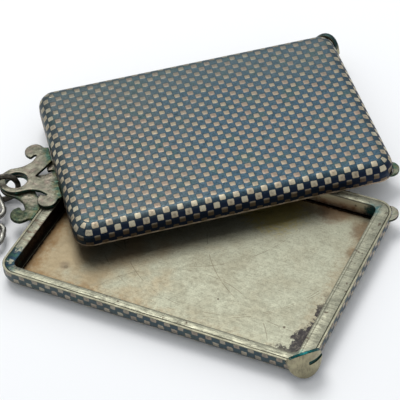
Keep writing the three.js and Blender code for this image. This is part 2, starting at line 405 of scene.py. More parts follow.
# %% [markdown]
# ## The floor pans
#
# A thin plate lies in the bottom of each half. It is pressed with the same tool as
# the cover: a flat middle, a small round at its border, and a flat underside. Years
# of needles have left it a little uneven, so a cloudy Displace moves its surface by
# a few hundredths of a millimetre, which is enough to make the reflections swim.

# %% Make the pan
pan_low, pan_high = (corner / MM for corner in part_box("tray_floor_pan"))
PAN_CORNER = 0.95
PAN_THICK = pan_high.z - pan_low.z
PAN_CELL = 0.7
PAN_CORNER_STEPS = 5
DENT = 0.05
DENT_SIZE = 5.0
PAN_SECTION = [         # how far out and up from the flat middle's edge
    (0.35, 0), (0.7, 0), (0.85, -0.03), (0.92, -0.08), (0.95, -0.15),
    (0.95, 0.03 - PAN_THICK), (0.92, -PAN_THICK), (0, -PAN_THICK)]


def dent(piece, depth, size):
    """Leave a piece slightly uneven, as hand work is."""
    clouds = bpy.data.textures.new("dents", "CLOUDS")
    clouds.noise_scale = size
    finish_with(piece, "DISPLACE", texture=clouds, strength=depth, mid_level=0.5)


def make_pan():
    core = (pan_high - pan_low) / 2 - Vector((PAN_CORNER, PAN_CORNER, 0))
    cells_x, cells_y = round(core.x / PAN_CELL), round(core.y / PAN_CELL)
    plate = press_sheet(
        "floor_pan", core.x, core.y, cells_x, cells_y, PAN_SECTION, PAN_CORNER_STEPS)
    close_and_face_out(plate)
    middle = (pan_low + pan_high) / 2
    bpy.ops.transform.translate(value=(middle.x, middle.y, pan_high.z))
    bpy.ops.object.transform_apply(location=True)
    dent(plate, DENT, DENT_SIZE)
    smooth(plate, 50)
    return plate


floor_pan = make_pan()
print("floor pan:", len(floor_pan.data.polygons), "faces")

# %% [markdown]
# ## Rim, bail, clasp and tongue
#
# These pieces already have the right outline in the frame, cut to fit each other.
# Drawing them again would only risk the fit. Their triangles are loose, so a copy
# is merged and its flat parts are joined into whole faces, and then the edges are
# worked. The rim frame gets a small bevel, as a file leaves it. The cast pieces are
# remeshed into small even cells and smoothed, which rounds every edge the way wear
# and a tumbling barrel do.


# %% Work on a copy
def copy_of(node, name):
    """A merged copy of a CAD node, in millimetres."""
    piece = bpy.data.objects.new(name, frame["nodes"][node].data.copy())
    bpy.context.collection.objects.link(piece)
    piece.data.materials.clear()
    piece.data.transform(Matrix.Scale(1 / MM, 4))
    edit(piece)
    bpy.ops.mesh.select_all(action="SELECT")
    bpy.ops.mesh.remove_doubles(threshold=SAME_PLACE)
    bpy.ops.mesh.dissolve_limited(angle_limit=math.radians(1))
    done()
    return piece


FILE_EDGE = 0.12
CAST_DENT_SIZE = 1.2
ALL_ROUND = 180         # an angle that leaves no edge sharp


def make_rim_frame():
    rim = copy_of("tray_rim_frame", "rim_frame")
    finish_with(rim, "BEVEL", width=FILE_EDGE, segments=3, limit_method="ANGLE",
                angle_limit=math.radians(50))
    smooth(rim)
    return rim


def make_casting(node, cell, rounds, depth):
    """A copy whose edges are worn round: even cells, smoothed, and slightly dented."""
    casting = copy_of(node, node.replace("tray_", ""))
    finish_with(casting, "REMESH", mode="VOXEL", voxel_size=cell)
    finish_with(casting, "SMOOTH", factor=0.5, iterations=rounds)
    dent(casting, depth, CAST_DENT_SIZE)
    smooth(casting, ALL_ROUND)
    return casting


rim_frame = make_rim_frame()
bail = make_casting("tray_bail", cell=0.075, rounds=22, depth=0.12)
clasp_plate = make_casting("tray_clasp_plate", cell=0.07, rounds=4, depth=0.04)
tongue = make_casting("tray_tongue", cell=0.06, rounds=3, depth=0.02)
for piece in (rim_frame, bail, clasp_plate, tongue):
    print(piece.name, len(piece.data.polygons), "faces",
          [round(value, 2) for value in piece.dimensions])

# %% [markdown]
# ## Ring and links
#
# Each link is a torus that is drawn out: the vertices on one side of its middle are
# picked and moved along X, then those on the other side. A link is closed with
# solder, so one of its long sides gets a small collar, made by bevelling the ring
# of edges in its middle and swelling it.

# %% Draw a loop of wire
WIRE = 0.9
END_RING_WIRE = 1.0
COLLAR = 0.35
COLLAR_MIDDLE = 0.6     # the share of the collar that swells
COLLAR_SWELL = 1.13
WIRE_DENT = 0.05
WIRE_DENT_SIZE = 0.9


def wire_loop(name, length, width, wire):
    loop = start(name, bpy.ops.mesh.primitive_torus_add, major_segments=72, minor_segments=20,
                 major_radius=(width - wire) / 2, minor_radius=wire / 2)
    draw = (length - width) / 2
    for side in (-1, 1):
        edit(loop)
        pick(loop, "verts", lambda co: co.x * side > SAME_PLACE)
        bpy.ops.transform.translate(value=(side * draw, 0, 0))
    edit(loop)
    pick(loop, "edges", lambda co: abs(co.x) < SAME_PLACE and co.y > 0)
    bpy.ops.mesh.bevel(offset=COLLAR, segments=4)
    middle = (0, (width - wire) / 2, 0)
    bpy.ops.mesh.select_all(action="DESELECT")
    pick(loop, "verts", lambda co: abs(co.x) < COLLAR * COLLAR_MIDDLE and co.y > 0)
    bpy.ops.transform.resize(value=(1, COLLAR_SWELL, COLLAR_SWELL), center_override=middle)
    done()
    dent(loop, WIRE_DENT, WIRE_DENT_SIZE)
    smooth(loop, ALL_ROUND)
    return loop


# %% [markdown]
# ## Laying the loops
#
# The frame says where each link lies: its joint is one end, the middle of its box
# is its middle, and a link whose box is tall stands on edge. A matrix could stay on
# the object, but a finished piece has its place in its mesh, so it is applied.


# %% Lay a loop in its place
def settle(piece, matrix):
    """Put a piece in its place, and apply that, so that its object is at the origin."""
    lone(piece)
    piece.matrix_world = matrix
    bpy.ops.object.transform_apply(location=True, rotation=True, scale=True)


def joint_of(body):
    return next(Vector(j["pos_m"]) for j in frame["joints"] if j["child"] == body)


def lay_loop(loop, node, body):
    """Turn a loop so that it lies as the node in the frame does."""
    low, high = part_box(node)
    middle = (low + high) / 2
    along = (middle - joint_of(body)).normalized()
    side = Vector((0, 0, 1)).cross(along).normalized()
    top = along.cross(side)
    stands = high.z - low.z > 2 * WIRE * MM and node != "connector_link"
    if stands:
        side, top = top, -side
    turn = Matrix((along, side, top)).transposed().to_4x4()
    settle(loop, Matrix.Translation(middle) @ turn @ Matrix.Scale(MM, 4))


# %% [markdown]
# ## The chain
#
# A jump ring passes through both bails. From it hang one long connector, five links
# that lie flat and stand on edge by turns, and a plain end ring. Each one is drawn
# to its own length, laid, and handed to the body that it swings with.

# %% Make the chain
LINK_LENGTH = 5.0
LINK_WIDTH = 3.4
CONNECTOR_LENGTH = 7.0
ring_low, ring_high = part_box("jump_ring")
RING_SIZE = (ring_high.z - ring_low.z) / MM
end_low, end_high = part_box("end_ring")
END_RING_SIZE = (end_high.x - end_low.x) / MM

chain = [("jump_ring", "ring", RING_SIZE, RING_SIZE, WIRE),
         ("connector_link", "connector", CONNECTOR_LENGTH, LINK_WIDTH, WIRE)]
chain += [(f"chain_link_{i}", f"link_{i}", LINK_LENGTH, LINK_WIDTH, WIRE) for i in range(1, 6)]
chain += [("end_ring", "end", END_RING_SIZE, END_RING_SIZE, END_RING_WIRE)]

wires = []
for node, body, length, width, wire in chain:
    loop = wire_loop(f"wire_{node}", length, width, wire)
    lay_loop(loop, node, body)
    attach(loop, body)
    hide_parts(node)
    wires.append(loop)
    print(node, [round(value / MM, 2) for value in loop.dimensions])

# %% [markdown]
# ## Two halves from one set of pieces
#
# The lid is the same half as the tray, turned over onto its face and swung about
# the eye. So each piece is modelled once, where it lies in the tray. Before it is
# placed, its own coordinates are stored as an attribute called "home", so that a
# finish can tell the corner by the clasp from the corner by the bail on both.

# %% Place both halves
LID_TURN = (Matrix.Translation(EYE) @ Matrix.Rotation(LID_OPEN, 4, "Z")
            @ Matrix.Translation((-EYE.x, 0, LID_TOP - EYE.z)) @ Matrix.Rotation(math.pi, 4, "X"))


def remember_home(piece):
    home = piece.data.attributes.new("home", "FLOAT_VECTOR", "POINT")
    for vertex in piece.data.vertices:
        home.data[vertex.index].vector = vertex.co


def place_halves(model, node_end):
    """Put one copy in the tray and one in the lid, and hand each to its body."""
    remember_home(model)
    pair = []
    for body, turned in (("tray", Matrix.Identity(4)), ("lid", LID_TURN)):
        piece = bpy.data.objects.new(f"{body}_{node_end}_finished", model.data.copy())
        bpy.context.collection.objects.link(piece)
        settle(piece, Matrix.Scale(MM, 4) @ turned)
        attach(piece, body)
        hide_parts(f"{body}_{node_end}")
        pair.append(piece)
    bpy.data.objects.remove(model)
    return pair


covers = place_halves(cover, "cover")
rims = place_halves(rim_frame, "rim_frame")
pans = place_halves(floor_pan, "floor_pan")
bails = place_halves(bail, "bail")
clasps = place_halves(clasp_plate, "clasp_plate")
tongues = place_halves(tongue, "tongue")
print("lid pieces turned over and swung", round(math.degrees(LID_OPEN), 1), "degrees")

# %% [markdown]
# ## Mixing finishes
#
# A finish is a small recipe of nodes. This helper adds the nodes and joins them, so
# that a recipe reads from top to bottom. Places come from Object coordinates, in
# millimetres, or from "home" where a mark belongs to one corner of a half.


# %% The recipe helper
class Recipe:
    """A material being mixed. Every method adds one node and gives back its output."""

    def __init__(self, name):
        self.material = bpy.data.materials.new(name)
        self.material.use_nodes = True
        self.nodes = self.material.node_tree.nodes
        self.links = self.material.node_tree.links
        self.shader = self.nodes["Principled BSDF"]
        place = self.nodes.new("ShaderNodeTexCoord").outputs["Object"]
        self.place = self.vector("SCALE", place, scale=1 / MM)
        home = self.nodes.new("ShaderNodeAttribute")
        home.attribute_name = "home"
        self.home = home.outputs["Vector"]

    def feed(self, socket, value):
        """Join a node's output to the socket, or set a plain value on it."""
        if isinstance(value, bpy.types.NodeSocket):
            self.links.new(value, socket)
        elif value is not None:
            socket.default_value = value

    def math(self, operation, a, b=None, c=None):
        node = self.nodes.new("ShaderNodeMath")
        node.operation = operation
        for socket, value in zip(node.inputs, (a, b, c)):
            self.feed(socket, value)
        return node.outputs[0]

    def vector(self, operation, a, b=None, scale=None):
        node = self.nodes.new("ShaderNodeVectorMath")
        node.operation = operation
        self.feed(node.inputs[0], a)
        self.feed(node.inputs[1], b)
        self.feed(node.inputs[3], scale)
        return node.outputs[1 if operation == "DISTANCE" else 0]

    def split(self, vector):
        node = self.nodes.new("ShaderNodeSeparateXYZ")
        self.feed(node.inputs[0], vector)
        return node.outputs

    def noise(self, scale, detail=3.0, rough=0.55, where=None, colour=False):
        node = self.nodes.new("ShaderNodeTexNoise")
        self.feed(node.inputs["Vector"], where or self.place)
        node.inputs["Scale"].default_value = scale
        node.inputs["Detail"].default_value = detail
        node.inputs["Roughness"].default_value = rough
        return node.outputs["Color" if colour else "Fac"]

    def fade(self, value, low, high, to_low=0.0, to_high=1.0):
        """Goes smoothly from to_low to to_high as value goes from low to high."""
        node = self.nodes.new("ShaderNodeMapRange")
        node.interpolation_type = "SMOOTHSTEP"
        for socket, number in zip(node.inputs, (value, low, high, to_low, to_high)):
            self.feed(socket, number)
        return node.outputs[0]

    def blend(self, amount, a, b):
        """Colour a where amount is 0, and colour b where it is 1."""
        node = self.nodes.new("ShaderNodeMix")
        node.data_type = "RGBA"
        self.feed(node.inputs[0], amount)
        self.feed(node.inputs[6], a if isinstance(a, bpy.types.NodeSocket) else (*a, 1))
        self.feed(node.inputs[7], b if isinstance(b, bpy.types.NodeSocket) else (*b, 1))
        return node.outputs[2]

    def scratches(self, degrees, length, fineness, cut):
        """Fine straight lines that run one way: 1 in a scratch, 0 beside it."""
        node = self.nodes.new("ShaderNodeMapping")
        self.feed(node.inputs["Vector"], self.place)
        node.inputs["Rotation"].default_value = (0, 0, math.radians(degrees))
        node.inputs["Scale"].default_value = (1 / length, fineness, 1)
        lines = self.noise(1.0, 2.0, 0.5, node.outputs[0])
        return self.fade(lines, cut, cut + 0.05)

    def near(self, x, y, z, radius, ragged=0.4):
        """1 close to a place on the half, fading raggedly to 0 at the radius."""
        away = self.vector("DISTANCE", self.home, (x, y, z))
        edge = self.math("MULTIPLY_ADD", self.noise(1.6, 4.0), ragged * radius * 2, away)
        return self.fade(edge, radius * (1 + ragged), radius * (0.4 + ragged))

    def bump(self, height, strength, distance):
        node = self.nodes.new("ShaderNodeBump")
        node.inputs["Strength"].default_value = strength
        node.inputs["Distance"].default_value = distance * MM
        self.feed(node.inputs["Height"], height)
        return node.outputs["Normal"]

    def pour(self, colour, roughness, metallic, normal=None):
        self.feed(self.shader.inputs["Base Color"], colour)
        self.feed(self.shader.inputs["Roughness"], roughness)
        self.feed(self.shader.inputs["Metallic"], metallic)
        self.feed(self.shader.inputs["Normal"], normal)
        return self.material


# %% [markdown]
# ## Silver and niello checks
#
# Niello is a black sulphide melted into the silver. Here it has gone slate blue,
# with teal patches. The silver checks are cream at their rims and tan where dirt
# has stayed in the middle. The recipe reads the UV map of checks: the whole part of
# each coordinate names the check, and the rest says where in the check a point is.
# A little noise is added first, so that no edge is ruled straight.

# %% Count the checks in the shader
SQUARENESS = 7.0        # 2 would make each check a disc, and more makes it squarer


def checks_of(mix, ragged):
    """Where a point is in its check, which check that is, and whether it is silver."""
    uv = mix.nodes.new("ShaderNodeUVMap")
    uv.uv_map = "checks"
    shake = mix.vector("SUBTRACT", mix.noise(1.9, 3.0, colour=True), (0.5, 0.5, 0.5))
    shaken = mix.vector("ADD", uv.outputs[0], mix.vector("SCALE", shake, scale=ragged))
    square = mix.vector("FLOOR", uv.outputs[0])
    inside = mix.vector("SUBTRACT", shaken, square)
    column, row, _ = mix.split(square)
    turn = mix.math("FLOORED_MODULO", mix.math("ADD", column, row), 2)
    silver = mix.math("LESS_THAN", turn, 0.5)
    across_u, across_v, _ = mix.split(inside)
    half_u = mix.math("ABSOLUTE", mix.math("SUBTRACT", across_u, 0.5))
    half_v = mix.math("ABSOLUTE", mix.math("SUBTRACT", across_v, 0.5))
    both = mix.math("ADD", mix.math("POWER", half_u, SQUARENESS),
                    mix.math("POWER", half_v, SQUARENESS))
    reach = mix.math("POWER", both, 1 / SQUARENESS)
    return square, silver, reach


def chance(mix, square):
    """One random number for each check."""
    node = mix.nodes.new("ShaderNodeTexWhiteNoise")
    node.noise_dimensions = "3D"
    mix.feed(node.inputs["Vector"], square)
    return node.outputs["Value"]


# %% [markdown]
# ## Mixing the niello and its silver
#
# One flat blue and one flat cream would look printed. So the ground drifts in colour
# along the case, and gets teal clouds, pale grain and dark dirt, each from a noise
# of its own size. Every silver check draws a number, which sets its tint, its size
# and how much dirt is left in its heart.


# %% Mix the ground and the checks
def niello_ground(mix, outline, painted_deep_shade):
    """Slate at the bail end and blue at the catch end, mottled, and darkened by painted shade on
    the sides.
    """
    along = mix.split(mix.home)[0]
    drift = mix.math("ADD", along, mix.fade(mix.noise(0.10, 3.0), 0.25, 0.75, -9, 9))
    ground = mix.blend(mix.fade(drift, -20, 8), (0.051, 0.073, 0.083), (0.026, 0.060, 0.088))
    teal = mix.fade(mix.noise(0.30, 4.0), 0.50, 0.68)
    ground = mix.blend(mix.math("MULTIPLY", teal, 0.8), ground, (0.032, 0.070, 0.067))
    grain = mix.fade(mix.noise(3.6, 5.0, 0.75), 0.40, 0.72)
    ground = mix.blend(mix.math("MULTIPLY", grain, 0.5), ground, (0.120, 0.150, 0.155))
    dirt_and_gap_shade = mix.fade(mix.noise(1.7, 5.0, 0.75), 0.50, 0.66)
    ground = mix.blend(mix.math("MULTIPLY", dirt_and_gap_shade, 0.75), ground, (0.013, 0.030, 0.040))
    ground = mix.blend(mix.math("MULTIPLY", outline, 0.45), ground, (0.012, 0.022, 0.035))
    # Painted shade: the ground goes near black on the sides.
    return mix.blend(mix.math("MULTIPLY", painted_deep_shade, 0.93), ground, (0.005, 0.011, 0.030))


def silver_check(mix, luck, reach, shoulder, wall, tans):
    """Tan on the flat, cream on the shoulder as rubbed wear and a painted highlight, brown as
    painted shade on the wall.
    """
    tan = mix.blend(luck, *tans)
    # The shoulder's cream is partly rubbed wear and partly a painted highlight.
    rubbed_and_highlit = mix.blend(luck, (0.60, 0.545, 0.40), (0.48, 0.41, 0.29))
    check = mix.blend(shoulder, tan, rubbed_and_highlit)
    heart = mix.math("MULTIPLY", mix.fade(reach, 0.28, 0.05), mix.fade(luck, 0.1, 0.9))
    check = mix.blend(mix.math("MULTIPLY", heart, 0.50), check, (0.20, 0.140, 0.105))
    stain = mix.fade(mix.noise(0.7, 6.0, 0.65), 0.50, 0.70)
    check = mix.blend(mix.math("MULTIPLY", stain, 0.45), check, (0.17, 0.135, 0.115))
    speck = mix.fade(mix.noise(3.0, 4.0, 0.7), 0.58, 0.70)
    check = mix.blend(mix.math("MULTIPLY", speck, 0.5), check, (0.12, 0.09, 0.07))
    # Painted shade: the checks on the wall go brown where the sides are darkened.
    return mix.blend(mix.math("MULTIPLY", wall, 0.85), check, (0.115, 0.080, 0.052)), heart


def niello(name, tans, dark, ragged, lip, lip_colour):
    """dark is how much painted shade darkens the sides; lip is how far the bare edge shows on them.
    """
    mix = Recipe(name)
    square, silver, reach = checks_of(mix, ragged)
    luck = chance(mix, square)
    along, across, high = mix.split(mix.home)
    # Painted shade on the sides, weaker at the very bail end: it stands for the dark that the sides
    # reflect.
    past_bail_end = mix.fade(along, 0.5 - CASE_LENGTH / 2, 3 - CASE_LENGTH / 2, 0.35, 1.0)
    painted_side_shade = mix.math("MULTIPLY", past_bail_end, dark)
    shoulder = mix.math("MULTIPLY", mix.fade(high, 0.0, 0.25), mix.fade(high, 1.9, 1.2))
    wall = mix.math("MULTIPLY", mix.fade(high, 1.0, 1.9), painted_side_shade)
    painted_deep_shade = mix.math("MULTIPLY", mix.fade(high, 0.10, 0.9), painted_side_shade)
    size = mix.math("MULTIPLY_ADD", shoulder, 0.03, mix.fade(luck, 0, 1, 0.395, 0.435))
    metal = mix.math("MULTIPLY", silver, mix.fade(mix.math("SUBTRACT", size, reach), -0.03, 0.03))
    outline = mix.math("MULTIPLY", silver, mix.fade(reach, 0.38, 0.46))

    ground = niello_ground(mix, outline, painted_deep_shade)
    check, heart = silver_check(mix, luck, reach, shoulder, wall, tans)
    colour = mix.blend(metal, ground, check)
    drift = mix.fade(mix.noise(0.2, 3.0), 0.3, 0.7, -3, 3)
    film = mix.fade(mix.math("ADD", across, drift), 0.0, -17.0)
    colour = mix.blend(mix.math("MULTIPLY", film, 0.42), colour, (0.075, 0.096, 0.092))
    for side in (-1, 1):
        moss = mix.near(-CASE_LENGTH / 2, side * 5.5, HALF_HEIGHT - 0.4, 2.6)
        colour = mix.blend(mix.math("MULTIPLY", moss, 0.9), colour, (0.008, 0.050, 0.040))
    foot = mix.math("ADD", high, mix.fade(mix.noise(1.2, 4.0), 0.3, 0.7, -0.08, 0.08))
    colour = mix.blend(mix.fade(foot, HALF_HEIGHT - lip - 0.05, HALF_HEIGHT - lip + 0.05),
                       colour, lip_colour)
    rough = mix.math("ADD", mix.fade(mix.noise(2.4, 4.0), 0.3, 0.7, 0.34, 0.50),
                     mix.math("MULTIPLY_ADD", shoulder, 0.10, mix.math("MULTIPLY", heart, 0.08)))
    height = mix.math("MULTIPLY_ADD", metal, 0.5, mix.noise(5.0, 4.0, 0.6))
    return mix.pour(colour, rough, mix.fade(metal, 0, 1, 0.85, 0.95), mix.bump(height, 0.3, 0.03))


# %% [markdown]
# ## Silver, worn and tarnished
#
# All the plain metal is one family: a warm or a greenish silver, darker where
# tarnish lies, crossed by fine scratches, with small pits. Each piece of the case
# has its own amounts, and its own marks from use.


# %% Mix plain silver
def silver_base(mix, light, dark, patch=0.5, streak=25, lines_dark=0.35):
    """A silver surface before its own marks: colour, roughness and height."""
    tarnish = mix.fade(mix.noise(patch, 5.0, 0.6), 0.40, 0.70)
    colour = mix.blend(mix.math("MULTIPLY", tarnish, 0.8), light, dark)
    fine = mix.scratches(streak, 2.5, 14.0, 0.56)
    cross = mix.scratches(streak + 74, 4.0, 9.0, 0.60)
    lines = mix.math("MAXIMUM", fine, cross)
    colour = mix.blend(mix.math("MULTIPLY", lines, lines_dark), colour,
                       tuple(value * 0.45 for value in dark))
    rough = mix.fade(mix.noise(1.7, 4.0), 0.3, 0.7, 0.28, 0.44)
    height = mix.math("MULTIPLY_ADD", lines, -0.4, mix.noise(1.5, 5.0, 0.6))
    return colour, rough, height


def upright(mix):
    """1 on walls and 0 on faces that lie flat, as the piece itself stands."""
    normal = mix.nodes.new("ShaderNodeTexCoord").outputs["Normal"]
    return mix.fade(mix.math("ABSOLUTE", mix.split(normal)[2]), 0.75, 0.30)


def bare_edge(name, light, dark):
    """The cut edge of the cover, rubbed bare."""
    mix = Recipe(name)
    colour, rough, height = silver_base(mix, light, dark, 0.8)
    return mix.pour(colour, rough, 0.9, mix.bump(height, 0.3, 0.03))


# %% [markdown]
# ## The rim's finish
#
# The rim's top is rubbed to a grey silver by the other half. Its inner wall is
# never touched: it goes from silver at the top to brown copper at the foot, both
# painted lighter as painted light against the lid's shadow on it. A painted dark
# line at its foot is painted shade of the gap to the pan, and painted shade makes it
# almost black at the bail end. Dark bands cross the corner by the bail, and green
# has crept out from the clasp and into the corner by the tongue.

# %% Mix the rim
VERDIGRIS = (0.010, 0.130, 0.120)
DEEP_GREEN = (0.003, 0.016, 0.014)
TEAL = (0.010, 0.070, 0.078)
RIM_SEAM = 2.05         # how far the seam in the rim is from the catch end


def past_the_pan(mix):
    """How far a point is outside the border of the pan; less than 0 inside it."""
    along, across, _ = mix.split(mix.home)
    middle = (pan_low + pan_high) / 2
    half = (pan_high - pan_low) / 2
    past = [mix.math("SUBTRACT", mix.math("ABSOLUTE", mix.math("SUBTRACT", at, centre)), size)
            for at, centre, size in ((along, middle.x, half.x), (across, middle.y, half.y))]
    return mix.math("MAXIMUM", *past)


def rim_wall(mix, along, high):
    """The colour of the inner wall, with painted light on its copper and silver, painted shade at
    its foot and deep painted shade at the bail end.
    """
    # Painted light: the copper and the silver top are painted lighter than the metal, against the
    # lid's shadow on the wall.
    copper_with_painted_light_and_shade = mix.blend(mix.fade(mix.noise(0.6, 4.0), 0.35, 0.65),
                      (0.360, 0.215, 0.130), (0.600, 0.490, 0.350))
    copper_with_painted_light_and_shade = mix.blend(mix.fade(high, 1.5, 2.7), copper_with_painted_light_and_shade, (0.760, 0.700, 0.540))
    # Painted shade: a dark line at the foot stands for the gap to the pan.
    copper_with_painted_light_and_shade = mix.blend(mix.fade(high, 1.10, 0.80), copper_with_painted_light_and_shade, (0.040, 0.020, 0.012))
    # Painted shade: the wall goes almost black towards the bail end, where it lies in deep shade.
    return mix.blend(mix.fade(along, 6.0, -16.0), copper_with_painted_light_and_shade, (0.016, 0.007, 0.003))


def rim_silver(name):
    mix = Recipe(name)
    colour, rough, height = silver_base(
        mix, (0.250, 0.245, 0.180), (0.148, 0.146, 0.108), 0.8, 62, 0.5)
    along, _, high = mix.split(mix.home)
    mottle = mix.fade(mix.noise(2.4, 5.0, 0.75), 0.50, 0.68)
    colour = mix.blend(mix.math("MULTIPLY", mottle, 0.5), colour, (0.095, 0.100, 0.076))
    wall = mix.math("MULTIPLY", upright(mix), mix.fade(high, HALF_HEIGHT - 0.05, HALF_HEIGHT - 0.3))
    colour = mix.blend(wall, colour, rim_wall(mix, along, high))
    spots = mix.fade(mix.noise(1.1, 2.0), 0.64, 0.72)
    colour = mix.blend(mix.math("MULTIPLY", spots, 0.8), colour, (0.060, 0.042, 0.030))
    from_seam = mix.math("SUBTRACT", along, CASE_LENGTH / 2 - RIM_SEAM)
    seam = mix.fade(mix.math("ABSOLUTE", from_seam), 0.12, 0.04)
    mouth = mix.fade(past_the_pan(mix), 0.42, 0.22)
    line = mix.math("MAXIMUM", seam, mix.math("MULTIPLY", mouth, mix.fade(high, 3.0, 3.2)))
    colour = mix.blend(mix.math("MULTIPLY", line, 0.6), colour, (0.060, 0.055, 0.040))

    handled = mix.math("MULTIPLY", mix.near(-23.3, -7.5, HALF_HEIGHT, 4.5),
                       mix.scratches(20, 2.5, 2.2, 0.50))
    colour = mix.blend(mix.math("MULTIPLY", handled, 0.75), colour, (0.085, 0.050, 0.032))
    corner = mix.near(-24.0, -14.6, HALF_HEIGHT, 3.6, 0.6)
    bands = mix.math("MAXIMUM", mix.scratches(-38, 6.0, 0.8, 0.50),
                     mix.fade(mix.noise(1.5, 6.0, 0.7), 0.47, 0.53))
    scale = mix.blend(mix.fade(mix.noise(1.2, 3.0), 0.45, 0.6),
                      (0.010, 0.026, 0.042), (0.020, 0.052, 0.040))
    colour = mix.blend(mix.math("MULTIPLY", corner, bands), colour, scale)
    by_clasp = mix.near(24.2, -16.2, HALF_HEIGHT, 2.2)
    colour = mix.blend(by_clasp, colour, VERDIGRIS)
    in_corner = mix.near(22.0, 15.0, 1.8, 2.4)
    colour = mix.blend(in_corner, colour, TEAL)
    return mix.pour(colour, rough, 0.9, mix.bump(height, 0.35, 0.05))


# %% [markdown]
# ## The pans' finish
#
# A pan is satin silver with an even, fine grain. It is warm and rusty towards the
# bail end, and a painted dark line round its border is painted shade of the gap to
# the wall. Needles have drawn long shallow arcs over it. The tray's pan has its own
# stains, each at its own place: a round one near the bail, two pits, dark scale that
# creeps along the border from the corner by the clasp, brown patches by the tongue,
# and olive along the back, painted bright as painted light in the lid's shadow.

# %% Mix the pans
# Each arc is a middle and a radius; each stain is a middle, a radius, a strength and
# a colour.
ARCS = [(4, 6, 17.5), (2, 8, 20.6), (-6, 14, 19.0), (20, 12, 22.0), (3, -20, 15.5)]
STAINS = [
    # Olive tarnish, painted bright as painted light where the lid's shadow falls.
    (7.0, 12.3, 6.6, 0.85, (0.300, 0.250, 0.080)),
    (16.0, 14.6, 3.2, 0.70, (0.150, 0.095, 0.060)),
    (21.8, 12.4, 3.0, 0.75, (0.105, 0.072, 0.044)),
    (22.2, 7.6, 2.0, 0.75, (0.110, 0.078, 0.048)),
    (18.0, -9.7, 0.28, 0.90, (0.050, 0.035, 0.025)),
    (7.0, -8.3, 0.22, 0.90, (0.050, 0.035, 0.025)),
    (-17.2, -10.7, 1.10, 0.70, (0.150, 0.115, 0.075)),
    (-16.9, -10.9, 0.45, 0.60, (0.090, 0.070, 0.045)),
]


def pan_silver(name, stains, scale):
    """scale is how strong the dark scale in the clasp's corner is."""
    mix = Recipe(name)
    colour, _, height = silver_base(
        mix, (0.285, 0.285, 0.212), (0.228, 0.215, 0.152), 0.22, 12, 0.2)
    along = mix.split(mix.home)[0]
    grain = mix.fade(mix.noise(4.5, 4.0, 0.7), 0.46, 0.66)
    colour = mix.blend(mix.math("MULTIPLY", grain, 0.45), colour, (0.140, 0.127, 0.090))
    warm = mix.fade(mix.math("ADD", along, mix.fade(mix.noise(0.15, 3.0), 0.2, 0.8, -14, 14)),
                    0.0, -22.0)
    colour = mix.blend(mix.math("MULTIPLY", warm, 0.75), colour, (0.240, 0.178, 0.100))
    for x, y, radius in ARCS:
        away = mix.vector("DISTANCE", mix.home, (x, y, pan_high.z))
        arc = mix.fade(mix.math("ABSOLUTE", mix.math("SUBTRACT", away, radius)), 0.08, 0.02)
        arc = mix.math("MULTIPLY", arc, mix.fade(mix.noise(0.35, 3.0), 0.48, 0.56))
        colour = mix.blend(mix.math("MULTIPLY", arc, 0.65), colour, (0.120, 0.100, 0.066))
    for x, y, radius, strength, stain in stains:
        mark = mix.near(x, y, pan_high.z, radius, 0.5 if radius > 1 else 0.2)
        colour = mix.blend(mix.math("MULTIPLY", mark, strength), colour, stain)
    border = past_the_pan(mix)
    ragged = mix.math("ADD", border, mix.fade(mix.noise(0.8, 6.0, 0.7), 0.3, 0.7, -1.0, 1.0))
    in_corner = mix.near(21.3, -13.0, pan_high.z, 5.0, 0.2)
    spread = mix.math("MULTIPLY_ADD", in_corner, 1.7, mix.math("ADD", ragged, 1.1))
    beside = mix.near(21.0, -9.0, pan_high.z, 8.8, 0.2)
    crust = mix.math("MULTIPLY", mix.fade(spread, -0.15, 0.25), mix.math("MULTIPLY", beside, scale))
    rust = mix.math("MULTIPLY", mix.fade(ragged, -3.4, -0.4),
                    mix.fade(along, 12.0, -18.0, 0.40, 1.0))
    colour = mix.blend(mix.math("MULTIPLY", rust, 0.75), colour, (0.145, 0.075, 0.024))
    scab = mix.blend(mix.fade(mix.noise(2.0, 5.0, 0.7), 0.45, 0.65),
                     (0.018, 0.016, 0.019), (0.075, 0.066, 0.056))
    colour = mix.blend(crust, colour, scab)
    # Painted shade: a dark line round the border stands for the gap to the wall.
    dirt_and_gap_shade = mix.math("ADD", border, mix.fade(mix.noise(1.6, 4.0), 0.3, 0.7, -0.12, 0.12))
    colour = mix.blend(mix.fade(dirt_and_gap_shade, -0.55, -0.20), colour, (0.018, 0.010, 0.006))
    rough = mix.fade(mix.noise(1.7, 4.0), 0.3, 0.7, 0.36, 0.50)
    return mix.pour(colour, rough, 0.9, mix.bump(height, 0.12, 0.05))


# %% [markdown]
# ## Bails, clasps, tongues and wire
#
# The bails are cast. Their flat faces are handled and clean, and their upright
# edges are painted dark: a bloom of green, and painted shade on the sides. A clasp is
# the other way about: its broad face stands upright and is rubbed clean, its narrow
# top edge is green, and its slit is almost black. The chain is bright on top, with
# painted shade that makes it black underneath.


